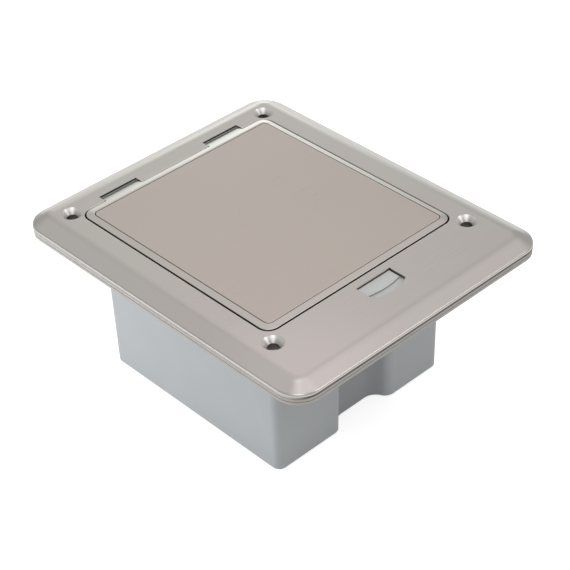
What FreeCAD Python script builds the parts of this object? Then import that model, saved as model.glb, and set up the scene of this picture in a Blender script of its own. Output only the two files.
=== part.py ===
import FreeCAD, Part
import math
import os
from FreeCAD import Vector

os.makedirs("parts", exist_ok=True)

# Axes: +X to the right of the latch, -Y the latch side, +Y the hinge side, +Z out of the floor.
# The origin is the middle of the four fixing holes, in the plane of the frame's underside. Depths
# below are measured down from the frame's flat top face, and saving lifts each piece into place.

# Lid and the opening it closes
lid_width = 103.0
lid_length = 111.4
lid_offset_y = 1.1
lid_corner_radius = 4.8
lid_height = 4.3
lid_gap = 0.6
lid_gap_hinge_side = 0.5
lid_rise = 0.6
lid_edge_round = 0.25
rim_width = 2.8
rim_width_hinge_side = 3.7
rim_fall = 0.55
insert_thickness = 1.6
insert_rise = 0.1
insert_corner_radius = 2.4
insert_joint = 0.3
insert_edge_round = 0.25
pan_thickness = 1.4
pan_rib = 1.6

# Frame plate
hole_beside_lid = 2.5
hole_beyond_lid = 4.3
hole_radius = 2.25
countersink_radius = 4.5
hole_boss_radius = 5.2
side_margin = 15.1
hinge_margin = 14.9
latch_margin = 28.3
plate_corner_radius = 11.0
field_thickness = 3.0
bevel_width = 6.6
bevel_drop = 3.4
ridge_round = 10.0
edge_roll = 1.1
opening_round = 0.5
frame_depth = 5.0
rim_wall = 5.2
frame_rib = 1.6
gasket_thickness = 3.1
gasket_edge = 0.2
gasket_width = 4.4
gasket_neck = 0.4
gasket_groove = 0.35

# Collar round the opening, and the shelf that the lid's seal lies on
collar_wall = 2.2
shelf_top = 6.0
shelf_thickness = 1.6
seal_height = 1.4
seal_inset = 1.8
seal_outset = 0.4

# Back box
box_side_shelf = 3.3
box_front_shelf = 0.74
box_back_shelf = 5.96
box_depth = 75.7
box_wall = 2.4
box_floor = 2.6
box_draft = 1.0
box_corner_radius = 4.5
box_base_chamfer = 0.6
recess_centre_x = 2.0
recess_flat = 14.0
recess_depth = 6.7
recess_flank_radius = 5.7
ear_thickness = 2.5
ear_radius = 3.5
ear_spacing_y = 64.0
gusset_height = 9.0
pillar_radius = 4.2
pillar_into_wall = 0.8
knockout_radius = 10.2
knockout_groove = 0.8
knockout_depth = 1.1
knockout_spacing = 42.0

# Screws: thread radius, head radius, head height
box_screw = (1.5, 2.8, 1.9)
small_screw = (1.25, 2.3, 1.4)
thread_clearance = 0.05
screw_bite = 5.0

# Hinge
knuckle_centre_x = 28.8
knuckle_length = 19.2
knuckle_radius = 1.15
hinge_beyond_lid = 2.7
hinge_depth = 1.75
knuckle_start = 0.6
slot_end_gap = 0.35
slot_back_gap = 0.55
pin_radius = 0.6
pin_clearance = 0.05
lug_length = 3.9
lug_height = 2.5
lug_web = 0.95
retainer_thickness = 1.2
retainer_gap = 0.15
retainer_screw_out = 5.3

# Latch
window_half_width = 9.4
window_from_lid = 4.6
window_side_depth = 8.6
window_arc_radius = 18.5
latch_skin = 1.3
latch_play = 0.2
pad_below_top = 0.8
pad_clearance = 0.2
pad_end_clearance = 0.45
pad_depth = 6.7
pad_arc_radius = 37.0
pad_edge_round = 0.25
slide_thickness = 2.1
slide_half_width = 12.0
slide_rear = 3.2
slide_length = 18.0
latch_travel = 2.5
rivet_radius = 0.95
rivet_head_radius = 1.7
rivet_head = 0.7
bolt_thickness = 1.2
bolt_half_width = 5.0
bolt_drop = 5.2
bolt_nose_gap = 0.6
housing_wall = 2.0
housing_depth = 12.0
housing_floor = 1.5
housing_rail = 1.5
spring_wire = 0.3
spring_radius = 2.1
spring_half_turns = 7
spring_facets = 6
spring_length = 6.0
strike_thickness = 1.4
strike_half_width = 6.0
strike_drop = 7.2
strike_from_lid = 4.6

# Sockets and the plate that carries them
plate_level = 14.0
plate_thickness = 1.2
plate_clearance = 0.5
socket_pitch = 45.0
face_width = 50.0
face_length = 44.6
face_thickness = 2.3
face_corner_radius = 2.5
well_radius = 19.6
well_wall = 1.2
well_depth = 17.5
well_floor = 2.0
pin_hole_radius = 2.6
pin_hole_spacing = 19.0
guide_width = 4.4
guide_depth = 1.7
base_wall = 1.8
base_between = 0.4
base_clearance = 0.3
base_depth = 18.5
base_post_radius = 3.0
earth_strip = 0.8
earth_width = 6.0
contact_sheet = 0.7

# Places worked out from the sizes above
lid_half = lid_width / 2
lid_front = lid_offset_y - lid_length / 2
lid_back = lid_offset_y + lid_length / 2
hole_x = lid_half + hole_beside_lid
hole_y = lid_length / 2 + hole_beyond_lid
plate_half = hole_x + side_margin
plate_back = hole_y + hinge_margin
plate_front = -hole_y - latch_margin
open_half = lid_half + lid_gap
open_front = lid_front - lid_gap
open_back = lid_back + lid_gap_hinge_side
open_radius = lid_corner_radius + lid_gap
shelf_bottom = shelf_top + shelf_thickness
box_half = lid_half - box_side_shelf
box_front = lid_front + box_front_shelf
box_back = lid_back - box_back_shelf
ear_x = open_half + collar_wall + ear_radius - 0.8
hinge_y = lid_back + hinge_beyond_lid
window_y = lid_front - window_from_lid
slide_top = latch_skin + latch_play
slide_bottom = slide_top + slide_thickness
slide_rear_y = window_y + slide_rear
slide_front_y = slide_rear_y - slide_length
strike_y = lid_front + strike_from_lid
plate_under = plate_level + plate_thickness
face_top = plate_level - face_thickness
well_bottom = face_top + well_depth + well_floor
base_bottom = well_bottom + base_depth
socket_mid_y = (box_front + recess_depth + box_back) / 2 + 0.7
socket_centres = [socket_mid_y - socket_pitch / 2, socket_mid_y + socket_pitch / 2]


# Plain solids by their corners or their axis; depths are given as positive numbers below the top face
def block(x0, x1, y0, y1, top, bottom):
    return Part.makeBox(x1 - x0, y1 - y0, bottom - top, Vector(x0, y0, -bottom))


def post(x, y, radius, top, bottom):
    return Part.makeCylinder(radius, bottom - top, Vector(x, y, -bottom))


def rod_x(x0, x1, y, depth, radius):
    return Part.makeCylinder(radius, x1 - x0, Vector(x0, y, -depth), Vector(1, 0, 0))


def rod_y(y0, y1, x, depth, radius):
    return Part.makeCylinder(radius, y1 - y0, Vector(x, y0, -depth), Vector(0, 1, 0))


def segment(p, q):
    return Part.LineSegment(p, q).toShape()


# Arc about a centre from one angle to another, in degrees
def arc(centre, radius, start, end):
    points = []
    for angle in (start, (start + end) / 2, end):
        a = math.radians(angle)
        points.append(centre + Vector(radius * math.cos(a), radius * math.sin(a), 0))
    return Part.Arc(*points).toShape()


# Closed wire through arcs in turn, with a straight edge wherever two arcs don't meet
def joined(arcs):
    edges = []
    for this, following in zip(arcs, arcs[1:] + arcs[:1]):
        edges.append(this)
        p = this.Vertexes[-1].Point
        q = following.Vertexes[0].Point
        if p.distanceToPoint(q) > 1e-6:
            edges.append(segment(p, q))
    return Part.Wire(edges)


def rounded(x0, x1, y0, y1, radius, depth):
    z = -depth
    return joined([
        arc(Vector(x1 - radius, y0 + radius, z), radius, -90, 0),
        arc(Vector(x1 - radius, y1 - radius, z), radius, 0, 90),
        arc(Vector(x0 + radius, y1 - radius, z), radius, 90, 180),
        arc(Vector(x0 + radius, y0 + radius, z), radius, 180, 270),
    ])


def prism(wire, height):
    return Part.Face(wire).extrude(Vector(0, 0, height))


def slab(x0, x1, y0, y1, radius, top, bottom):
    return prism(rounded(x0, x1, y0, y1, radius, bottom), bottom - top)


def polygon_x(points, x0, x1):
    corners = [Vector(x0, y, z) for y, z in points]
    return Part.Face(Part.makePolygon(corners + corners[:1])).extrude(Vector(x1 - x0, 0, 0))


def polygon_y(points, y0, y1):
    corners = [Vector(x, y0, z) for x, z in points]
    return Part.Face(Part.makePolygon(corners + corners[:1])).extrude(Vector(0, y1 - y0, 0))


# Slab whose four sides slope in by the inset: two trapezoid bars crossed, with a cone at each corner
def sloped_slab(x0, x1, y0, y1, radius, inset, top, bottom):
    section_x = [(y0, -bottom), (y1, -bottom), (y1 - inset, -top), (y0 + inset, -top)]
    section_y = [(x0, -bottom), (x1, -bottom), (x1 - inset, -top), (x0 + inset, -top)]
    bar_x = polygon_x(section_x, x0 + radius, x1 - radius)
    bar_y = polygon_y(section_y, y0 + radius, y1 - radius)
    cones = []
    for x in (x0 + radius, x1 - radius):
        for y in (y0 + radius, y1 - radius):
            cones.append(Part.makeCone(radius, radius - inset, bottom - top, Vector(x, y, -bottom)))
    return one([bar_x, bar_y] + cones)


def edges_at(shape, depth):
    return [e for e in shape.Edges
            if abs(e.BoundBox.ZMin + depth) < 1e-6 and abs(e.BoundBox.ZMax + depth) < 1e-6]


def one(shapes):
    body = shapes[0]
    if len(shapes) > 1:
        body = body.fuse(shapes[1:])
    return body.removeSplitter()


def save(name, shape):
    shape.translated(Vector(0, 0, frame_depth)).exportStep("parts/" + name + ".step")


# Plan outline of the back box: a rounded rectangle whose latch side swings inward in two tangent
# arcs each side of a flat. The arc centres stay where they are as the outline is moved inward.
def box_outline(inset, depth):
    z = -depth
    sweep = math.degrees(math.acos(1 - recess_depth / (2 * recess_flank_radius)))
    flank = 2 * recess_flank_radius * math.sin(math.radians(sweep))
    corner = max(box_corner_radius - inset, 0.6)
    x0, x1 = inset - box_half, box_half - inset
    y0, y1 = box_front + inset, box_back - inset
    lip_y = box_front + recess_flank_radius
    hollow_y = box_front + recess_depth - recess_flank_radius
    reach = recess_flat / 2
    lip = recess_flank_radius - inset
    hollow = recess_flank_radius + inset
    left, right = recess_centre_x - reach, recess_centre_x + reach
    return joined([
        arc(Vector(left - flank, lip_y, z), lip, -90, sweep - 90),
        arc(Vector(left, hollow_y, z), hollow, 90 + sweep, 90),
        arc(Vector(right, hollow_y, z), hollow, 90, 90 - sweep),
        arc(Vector(right + flank, lip_y, z), lip, -90 - sweep, -90),
        arc(Vector(x1 - corner, y0 + corner, z), corner, -90, 0),
        arc(Vector(x1 - corner, y1 - corner, z), corner, 0, 90),
        arc(Vector(x0 + corner, y1 - corner, z), corner, 90, 180),
        arc(Vector(x0 + corner, y0 + corner, z), corner, 180, 270),
    ])


def screw_up(x, y, seat, size, length):
    radius, head_radius, head_height = size
    head = post(x, y, head_radius, seat, seat + head_height)
    return one([head, post(x, y, radius, seat - length, seat + 0.1)])


def screw_down(x, y, seat, size, length):
    radius, head_radius, head_height = size
    head = post(x, y, head_radius, seat - head_height, seat)
    return one([head, post(x, y, radius, seat - 0.1, seat + length)])


def thread_hole(x, y, radius, top, bottom):
    return post(x, y, radius + thread_clearance, top, bottom)


ear_places = [(sx * ear_x, sy * ear_spacing_y / 2) for sx in (-1, 1) for sy in (-1, 1)]
hole_places = [(sx * hole_x, sy * hole_y) for sx in (-1, 1) for sy in (-1, 1)]
retainer_screw_y = hinge_y + retainer_screw_out
housing_screw_places = [(sx * (slide_half_width + housing_wall + 4.0), y) for sx in (-1, 1)
                        for y in (slide_rear_y - 8, slide_front_y - 2)]
earth_place = (open_half + collar_wall + 4.2, 0)
latch_end_y = slide_front_y - spring_length
rivet_places = [(sx * 3.0, slide_front_y + 5.2) for sx in (-1, 1)]
pillar_in = box_wall + pillar_radius - pillar_into_wall
pillar_places = [(sx * (box_half - pillar_in), y) for sx in (-1, 1)
                 for y in (box_front + pillar_in, box_back - pillar_in)]
knuckle_places = (-knuckle_centre_x, knuckle_centre_x)


# Latch window: straight towards the lid, two short sides and a bowed outer edge
def window_wire(grow, depth):
    half = window_half_width + grow
    inner = window_y + grow
    side = window_y - window_side_depth - grow
    bow = window_arc_radius + grow
    sag = bow - math.sqrt(bow ** 2 - half ** 2)
    apex = Vector(0, side - sag, -depth)
    a, b = Vector(-half, inner, -depth), Vector(half, inner, -depth)
    c, d = Vector(half, side, -depth), Vector(-half, side, -depth)
    return Part.Wire([segment(a, d), Part.Arc(d, apex, c).toShape(), segment(c, b), segment(b, a)])


def frame_shell():
    outline = (-plate_half, plate_half, plate_front, plate_back)
    skirt = slab(*outline, plate_corner_radius, bevel_drop, frame_depth)
    cap = sloped_slab(*outline, plate_corner_radius, bevel_width, 0, bevel_drop)
    shell = one([skirt, cap])
    shell = shell.makeFillet(ridge_round, edges_at(shell, 0))
    shell = shell.makeFillet(edge_roll, edges_at(shell, bevel_drop))
    inside = plate_half - rim_wall
    hollow = slab(-inside, inside, plate_front + rim_wall, plate_back - rim_wall,
                  plate_corner_radius - rim_wall, field_thickness, frame_depth + 1)
    return shell.cut(hollow)


# Stiffening ribs under the field, from the collar to the rim
def frame_ribs():
    ribs = []
    inside = plate_half - rim_wall + 1
    for x0, x1 in ((-inside, -open_half - 1), (open_half + 1, inside)):
        for share in (-0.42, -0.14, 0.14, 0.42):
            y_mid = lid_offset_y + share * lid_length
            ribs.append(block(x0, x1, y_mid - frame_rib / 2, y_mid + frame_rib / 2, field_thickness - 0.1,
                              frame_depth))
    for x in (-0.62, -0.42, 0.42, 0.62):
        x_mid = x * plate_half
        ribs.append(block(x_mid - frame_rib / 2, x_mid + frame_rib / 2, plate_front + rim_wall - 1,
                          open_front - 1, field_thickness - 0.1, frame_depth))
    for x in (-0.72, 0, 0.72):
        x_mid = x * plate_half
        ribs.append(block(x_mid - frame_rib / 2, x_mid + frame_rib / 2, open_back + 1,
                          plate_back - rim_wall + 1, field_thickness - 0.1, frame_depth))
    return ribs


def frame_collar():
    reach = collar_wall
    return slab(-open_half - reach, open_half + reach, open_front - reach, open_back + reach,
                open_radius + reach, field_thickness - 0.1, shelf_bottom)


# Lugs either side of each knuckle; the pin drops into their grooves from below
def lug_ranges(centre):
    near = knuckle_length / 2 + slot_end_gap + 0.1
    return ((centre - near - lug_length, centre - near), (centre + near, centre + near + lug_length))


def frame_additions():
    parts = [frame_collar()] + frame_ribs()
    parts += [post(x, y, hole_boss_radius, field_thickness - 0.1, frame_depth) for x, y in hole_places]
    parts += [post(x, y, ear_radius, field_thickness - 0.1, shelf_bottom) for x, y in ear_places]
    parts.append(post(*earth_place, 3.2, field_thickness - 0.1, frame_depth + 1))
    lug_bottom = field_thickness + lug_height
    for centre in knuckle_places:
        for x0, x1 in lug_ranges(centre):
            parts.append(block(x0, x1, open_back, hinge_y + 2.3, field_thickness - 0.1, lug_bottom))
        parts.append(post(centre, retainer_screw_y, 2.8, field_thickness - 0.1, lug_bottom))
    for x, y in housing_screw_places:
        parts.append(post(x, y, 2.8, field_thickness - 0.1, frame_depth))
    return parts


def countersunk_hole(x, y):
    slope = countersink_radius - hole_radius
    cone = Part.makeCone(hole_radius, countersink_radius, slope, Vector(x, y, -slope))
    return cone.fuse(post(x, y, hole_radius, -1, frame_depth + 1))


# The opening for the lid, with its top edge rounded before the hinge slots break into it
def frame_opened():
    body = frame_shell().fuse(frame_additions())
    opening = slab(-open_half, open_half, open_front, open_back, open_radius, -1, shelf_top)
    body = body.cut(opening).removeSplitter()
    rim = [e for e in edges_at(body, 0) if abs(e.CenterOfMass.x) < open_half + 0.1
           and open_front - 0.1 < e.CenterOfMass.y < open_back + 0.1]
    return body.makeFillet(opening_round, rim)


def frame_cuts():
    cuts = [prism(box_outline(box_wall, shelf_bottom + 1), shelf_thickness + 2)]
    cuts += [countersunk_hole(x, y) for x, y in hole_places]
    for x, y in ear_places:
        cuts.append(thread_hole(x, y, box_screw[0], field_thickness, shelf_bottom + 1))
    cuts.append(thread_hole(*earth_place, 2.0, field_thickness - 0.8, frame_depth + 2))
    lug_bottom = field_thickness + lug_height
    groove = pin_radius + pin_clearance
    for centre in knuckle_places:
        reach = knuckle_length / 2 + slot_end_gap
        back = hinge_y + knuckle_radius + slot_back_gap
        floor = hinge_depth + knuckle_radius + 0.9
        cuts.append(block(centre - reach, centre + reach, open_back - 1, back, -1, floor))
        for x0, x1 in lug_ranges(centre):
            cuts.append(rod_x(x0 - 0.5, x1 + 0.5, hinge_y, hinge_depth, groove))
            cuts.append(block(x0 - 0.5, x1 + 0.5, hinge_y - groove, hinge_y + groove, hinge_depth,
                              lug_bottom + 1))
        far = reach + lug_length + 0.4
        cuts.append(block(centre - far, centre + far, open_back + lug_web, hinge_y + 8, lug_bottom,
                          shelf_bottom + 1))
        cuts.append(thread_hole(centre, retainer_screw_y, small_screw[0], field_thickness - 0.7,
                                lug_bottom + 1))
    for x, y in housing_screw_places:
        cuts.append(thread_hole(x, y, small_screw[0], field_thickness - 0.7, frame_depth + 1))
    cuts += latch_cuts()
    return cuts


# Window, the pocket that the slide runs in, and the slot that lets the strike through the shelf
def latch_cuts():
    window = prism(window_wire(0, latch_skin + 1), latch_skin + 2)
    room = slide_half_width + 0.3
    end = slide_front_y - latch_travel - 0.6
    pocket = block(-room, room, end, open_front + 1, latch_skin, slide_bottom + 0.3)
    below = block(-room, room, end, open_front - collar_wall - 0.05, latch_skin, frame_depth + 1)
    slot = block(-strike_half_width - 0.6, strike_half_width + 0.6, strike_y - 1.2,
                 strike_y + strike_thickness + 0.7, shelf_top - 1, shelf_bottom + 1)
    return [window, pocket, below, slot]


def frame_plate():
    return frame_opened().cut(frame_cuts()).removeSplitter()


# Gasket: a neck under the frame's edge, then two lips with a groove between them
def frame_gasket():
    top, bottom = frame_depth, frame_depth + gasket_thickness
    lip = (gasket_thickness - gasket_neck - gasket_groove) / 2
    levels = [
        (gasket_edge + 0.8, top, bottom),
        (gasket_edge, top + gasket_neck, top + gasket_neck + lip),
        (gasket_edge + gasket_groove, top + gasket_neck, bottom),
        (gasket_edge, bottom - lip, bottom),
    ]
    rings = [slab(edge - plate_half, plate_half - edge, plate_front + edge, plate_back - edge,
                  plate_corner_radius - edge, upper, lower) for edge, upper, lower in levels]
    edge = gasket_edge + gasket_width
    inside = slab(edge - plate_half, plate_half - edge, plate_front + edge, plate_back - edge,
                  plate_corner_radius - edge, top - 1, bottom + 1)
    return one(rings).cut(inside)


def box_body():
    chamfer = box_base_chamfer
    share = (box_depth - chamfer - shelf_bottom) / (box_depth - shelf_bottom)
    walls = Part.makeLoft([
        box_outline(0, shelf_bottom),
        box_outline(box_draft * share, box_depth - chamfer),
    ], True, True)
    base = Part.makeLoft([
        box_outline(box_draft * share, box_depth - chamfer),
        box_outline(box_draft + chamfer, box_depth),
    ], True, True)
    return one([walls, base])


def box_hollow():
    floor = box_depth - box_floor
    share = (floor - shelf_bottom) / (box_depth - shelf_bottom)
    return Part.makeLoft([
        box_outline(box_wall, shelf_bottom - 0.01),
        box_outline(box_wall + box_draft * share, floor),
    ], True, True)


# Screw ear with a gusset under it, standing out of the box's side wall
def box_ear(x, y):
    side = 1 if x > 0 else -1
    root = side * (box_half - box_wall / 2)
    x0, x1 = min(root, x), max(root, x)
    top, bottom = shelf_bottom, shelf_bottom + ear_thickness
    parts = [block(x0, x1, y - ear_radius, y + ear_radius, top, bottom)]
    parts.append(post(x, y, ear_radius, top, bottom))
    toe = x + side * (-ear_radius)
    for edge in (y - ear_radius, y + ear_radius - 1.4):
        gusset = [(root, -bottom), (toe, -bottom), (root, -bottom - gusset_height)]
        parts.append(polygon_y(gusset, edge, edge + 1.4))
    return parts


def knockout_ring(axis_rod):
    outer, inner = axis_rod(knockout_radius + knockout_groove), axis_rod(knockout_radius)
    return outer.cut(inner)


def back_box():
    floor = box_depth - box_floor
    body = box_body().fuse([p for x, y in ear_places for p in box_ear(x, y)])
    body = body.cut(box_hollow())
    pillars = [post(x, y, pillar_radius, plate_under, floor + 0.1) for x, y in pillar_places]
    body = body.fuse(pillars)
    ear_bottom = shelf_bottom + ear_thickness
    cuts = [thread_hole(x, y, box_screw[0], shelf_bottom - 1, ear_bottom + 1) for x, y in ear_places]
    cuts += [thread_hole(x, y, box_screw[0], plate_under - 1, plate_under + 12) for x, y in pillar_places]
    middle = (shelf_bottom + box_depth) / 2 + 6
    wall_back = box_back - box_draft * (middle - shelf_bottom) / (box_depth - shelf_bottom)
    for x in (-knockout_spacing / 2, knockout_spacing / 2):
        cuts.append(knockout_ring(lambda r: rod_y(wall_back - knockout_depth, box_back + 1, x, middle, r)))
        cuts.append(knockout_ring(lambda r: post(x, box_back / 4, r, box_depth - knockout_depth,
                                                 box_depth + 1)))
    return body.cut(cuts).removeSplitter()


def lid_seal():
    outer = prism(box_outline(-seal_outset, shelf_top), seal_height)
    inner = prism(box_outline(seal_inset, shelf_top + 1), seal_height + 2)
    return outer.cut(inner)


def insert_wire(grow, depth):
    return rounded(rim_width - grow - lid_half, lid_half - rim_width + grow, lid_front + rim_width - grow,
                   lid_back - rim_width_hinge_side + grow, insert_corner_radius + grow, depth)


def lid_insert():
    top = -lid_rise - insert_rise
    panel = prism(insert_wire(-insert_joint, top + insert_thickness), insert_thickness)
    return panel.makeFillet(insert_edge_round, edges_at(panel, top))


# Knuckle: its back falls away from the rim in line with the barrel that wraps round the pin
def lid_knuckle(centre):
    x0, x1 = centre - knuckle_length / 2, centre + knuckle_length / 2
    start_y = lid_back - knuckle_start
    start_z = lid_rise - rim_fall * (1 - knuckle_start / rim_width)
    reach_y, reach_z = start_y - hinge_y, start_z + hinge_depth
    turn = math.acos(knuckle_radius / math.hypot(reach_y, reach_z))
    angle = math.atan2(reach_z, reach_y) - turn
    tangent = (hinge_y + knuckle_radius * math.cos(angle), knuckle_radius * math.sin(angle) - hinge_depth)
    under = -hinge_depth - knuckle_radius
    root_y = lid_back - 2.5
    profile = [(start_y, start_z), tangent, (hinge_y, -hinge_depth), (hinge_y, under), (root_y, under),
               (root_y, start_z)]
    web = polygon_x(profile, x0, x1)
    foot = block(x0, x1, root_y, lid_back, hinge_depth, lid_height)
    return [web, foot, rod_x(x0, x1, hinge_y, hinge_depth, knuckle_radius)]


def lid_tray():
    outline = (-lid_half, lid_half, lid_front, lid_back, lid_corner_radius)
    rim_foot = rim_fall - lid_rise
    seat = insert_thickness - insert_rise - lid_rise
    crown = sloped_slab(*outline, rim_width, -lid_rise, rim_foot)
    body = one([slab(*outline, rim_foot, lid_height), crown])
    body = body.makeFillet(lid_edge_round, edges_at(body, rim_foot))
    core_top = seat + pan_thickness
    core = prism(box_outline(box_wall + 1.2, lid_height + 1), lid_height + 1 - core_top)
    ribs = []
    for share in (-0.5, 0, 0.5):
        x = share * lid_width * 0.7
        y = lid_offset_y + share * lid_length * 0.62
        ribs.append(block(x - pan_rib / 2, x + pan_rib / 2, lid_front, lid_back, core_top - 0.1,
                          lid_height))
        ribs.append(block(-lid_half, lid_half, y - pan_rib / 2, y + pan_rib / 2, core_top - 0.1,
                          lid_height))
    core = core.cut(ribs)
    body = body.cut([core, prism(insert_wire(0, seat), insert_thickness + 1)])
    body = body.fuse([p for centre in knuckle_places for p in lid_knuckle(centre)])
    bores = [rod_x(c - knuckle_length, c + knuckle_length, hinge_y, hinge_depth, pin_radius + pin_clearance)
             for c in knuckle_places]
    screws = [thread_hole(x, y, small_screw[0], lid_height - 2.3, lid_height + 1)
              for x, y in strike_screw_places()]
    return body.cut(bores + screws).removeSplitter()


def strike_screw_places():
    return [(sx * 3.6, (strike_y + lid_front + 0.5) / 2) for sx in (-1, 1)]


# Strike: a flange under the lid's edge and a tongue that hangs into the box's recess, with a window
def lid_strike():
    top, bottom = lid_height, lid_height + 1.2
    flange = block(-strike_half_width, strike_half_width, lid_front + 0.5, strike_y + strike_thickness,
                   top, bottom)
    tongue = block(-strike_half_width, strike_half_width, strike_y, strike_y + strike_thickness,
                   top, lid_height + strike_drop)
    keeper = bolt_level() - 0.5
    window = block(-bolt_half_width - 0.4, bolt_half_width + 0.4, strike_y - 1,
                   strike_y + strike_thickness + 1, keeper, keeper + bolt_thickness + 0.8)
    body = flange.fuse(tongue).cut(window)
    for x, y in strike_screw_places():
        head = Part.makeCone(2.3, 1.3, 1.0, Vector(x, y, -bottom))
        body = body.cut([head, post(x, y, 1.3, top - 1, bottom + 1)])
    return body.removeSplitter()


def strike_screws():
    screws = []
    for x, y in strike_screw_places():
        bottom = lid_height + 1.2
        head = Part.makeCone(2.25, 1.25, 1.0, Vector(x, y, -bottom))
        screws.append(one([head, post(x, y, small_screw[0], lid_height - 2.2, bottom - 0.9)]))
    return screws


def bolt_level():
    return shelf_bottom + 0.4


def hinge_pin(centre):
    half = knuckle_length / 2 + slot_end_gap + lug_length - 0.3
    return rod_x(centre - half, centre + half, hinge_y, hinge_depth, pin_radius)


# Retainer: a plate under the lugs whose two ribs hold the pin up in its grooves
def hinge_retainer(centre):
    top = field_thickness + lug_height
    bottom = top + retainer_thickness
    half = knuckle_length / 2 + slot_end_gap + lug_length
    plate = slab(centre - half, centre + half, open_back + lug_web + retainer_gap, hinge_y + 2.3, 0.5,
                 top, bottom)
    tongue = block(centre - 3.2, centre + 3.2, hinge_y, retainer_screw_y, top, bottom)
    parts = [plate, tongue, post(centre, retainer_screw_y, 3.2, top, bottom)]
    for x0, x1 in lug_ranges(centre):
        parts.append(block(x0 + 0.3, x1 - 0.3, hinge_y - pin_radius + 0.05, hinge_y + pin_radius - 0.05,
                           hinge_depth + pin_radius, top + 0.1))
    return one(parts).cut(thread_hole(centre, retainer_screw_y, small_screw[0], top - 1, bottom + 1))


def retainer_screws():
    seat = field_thickness + lug_height + retainer_thickness
    return [screw_up(c, retainer_screw_y, seat, small_screw, retainer_thickness + 2.8)
            for c in knuckle_places]


# Finger pad with a bowed outer edge on a flat slide, and a lug below it that the spring pushes
def latch_button():
    half = window_half_width - pad_end_clearance
    inner = window_y - pad_clearance
    side = inner - pad_depth + pad_arc_radius - math.sqrt(pad_arc_radius ** 2 - half ** 2)
    depth = slide_top + 0.1
    a, b = Vector(-half, inner, -depth), Vector(half, inner, -depth)
    c, d = Vector(half, side, -depth), Vector(-half, side, -depth)
    outer = Part.Arc(d, Vector(0, inner - pad_depth, -depth), c).toShape()
    wire = Part.Wire([segment(a, d), outer, segment(c, b), segment(b, a)])
    pad = prism(wire, depth - pad_below_top)
    pad = pad.makeFillet(pad_edge_round, edges_at(pad, pad_below_top))
    slide = slab(-slide_half_width, slide_half_width, slide_front_y, slide_rear_y, 1.0,
                 slide_top, slide_bottom)
    lug = block(-3.6, 3.6, slide_front_y, slide_front_y + 2.2, slide_bottom - 0.1,
                spring_level() + spring_radius + 0.8)
    peg = rod_y(slide_front_y - 1.2, slide_front_y + 0.1, 0, spring_level(),
                spring_radius - spring_wire - 0.25)
    holes = [thread_hole(x, y, rivet_radius, slide_bottom - 1.4, slide_bottom + 1) for x, y in rivet_places]
    return one([pad, slide, lug, peg]).cut(holes)


def spring_level():
    return slide_bottom + 3.0


# Bolt: riveted under the slide, steps down outside the collar and runs back under the shelf
def latch_bolt():
    level = bolt_level()
    rear = strike_y - bolt_nose_gap
    drop_y = open_front - collar_wall - latch_travel + 0.3
    front = slide_front_y + 3.0
    t = bolt_thickness
    upper = [(front, -slide_bottom), (drop_y, -slide_bottom), (drop_y, -level), (rear - 1.0, -level)]
    nose = [(rear, -level - t / 2), (rear, -level - t)]
    lower = [(drop_y - t, -level - t), (drop_y - t, -slide_bottom - t), (front, -slide_bottom - t)]
    holes = [thread_hole(x, y, rivet_radius, slide_bottom - 1, slide_bottom + t + 1)
             for x, y in rivet_places]
    return polygon_x(upper + nose + lower, -bolt_half_width, bolt_half_width).cut(holes)


def latch_rivets():
    rivet = (rivet_radius, rivet_head_radius, rivet_head)
    seat = slide_bottom + bolt_thickness
    return [screw_up(x, y, seat, rivet, bolt_thickness + 1.3) for x, y in rivet_places]


# Channel under the slide: side walls with rails, an end wall for the spring, and screw ears
def latch_housing():
    rear = open_front - collar_wall - 0.4
    front = latch_end_y - housing_wall
    inner = slide_half_width + 0.3
    outer = inner + housing_wall
    body = block(-outer, outer, front, rear, field_thickness, housing_depth)
    room = block(-inner, inner, latch_end_y, rear + 1, field_thickness - 1, housing_depth - housing_floor)
    body = body.cut(room)
    rail_top = slide_bottom + 0.1
    parts = [body]
    for x0, x1 in ((-inner - 0.1, -inner + 2.0), (inner - 2.0, inner + 0.1)):
        parts.append(block(x0, x1, latch_end_y, rear, rail_top, rail_top + housing_rail))
    ear_top = frame_depth
    for x, y in housing_screw_places:
        x0, x1 = (x, -outer + 0.5) if x < 0 else (outer - 0.5, x)
        parts.append(block(x0, x1, y - 2.8, y + 2.8, ear_top, ear_top + 2.0))
        parts.append(post(x, y, 2.8, ear_top, ear_top + 2.0))
    cuts = [thread_hole(x, y, small_screw[0], ear_top - 1, ear_top + 3) for x, y in housing_screw_places]
    cuts.append(block(-bolt_half_width - 1, bolt_half_width + 1, latch_end_y + 6, rear - 3,
                      housing_depth - 3, housing_depth + 1))
    return one(parts).cut(cuts).removeSplitter()


def latch_screws():
    seat = frame_depth + 2.0
    return [screw_up(x, y, seat, small_screw, 2.0 + 2.5) for x, y in housing_screw_places]


# Coil: each half turn is a tilted half ring, and they meet end to end in line with each other
def latch_spring():
    step = (spring_length - 2 * spring_wire - 0.04) / spring_half_turns
    start_y = slide_front_y - spring_wire - 0.02
    turns = []
    for index in range(spring_half_turns):
        side = 1 if index % 2 == 0 else -1
        start = Vector(side * spring_radius, start_y - index * step, -spring_level())
        end = Vector(-side * spring_radius, start_y - (index + 1) * step, -spring_level())
        corners = []
        for corner in range(spring_facets + 1):
            angle = 2 * math.pi * corner / spring_facets
            corners.append(start + Vector(spring_wire * math.cos(angle), spring_wire * math.sin(angle), 0))
        travel = Vector(0, 0, side)
        wire = Part.Face(Part.makePolygon(corners))
        turns.append(wire.revolve((start + end) * 0.5, (end - start).cross(travel), 180))
    return one(turns)


def box_screws():
    seat = shelf_bottom + ear_thickness
    return [screw_up(x, y, seat, box_screw, ear_thickness + screw_bite - 1.2) for x, y in ear_places]


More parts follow.
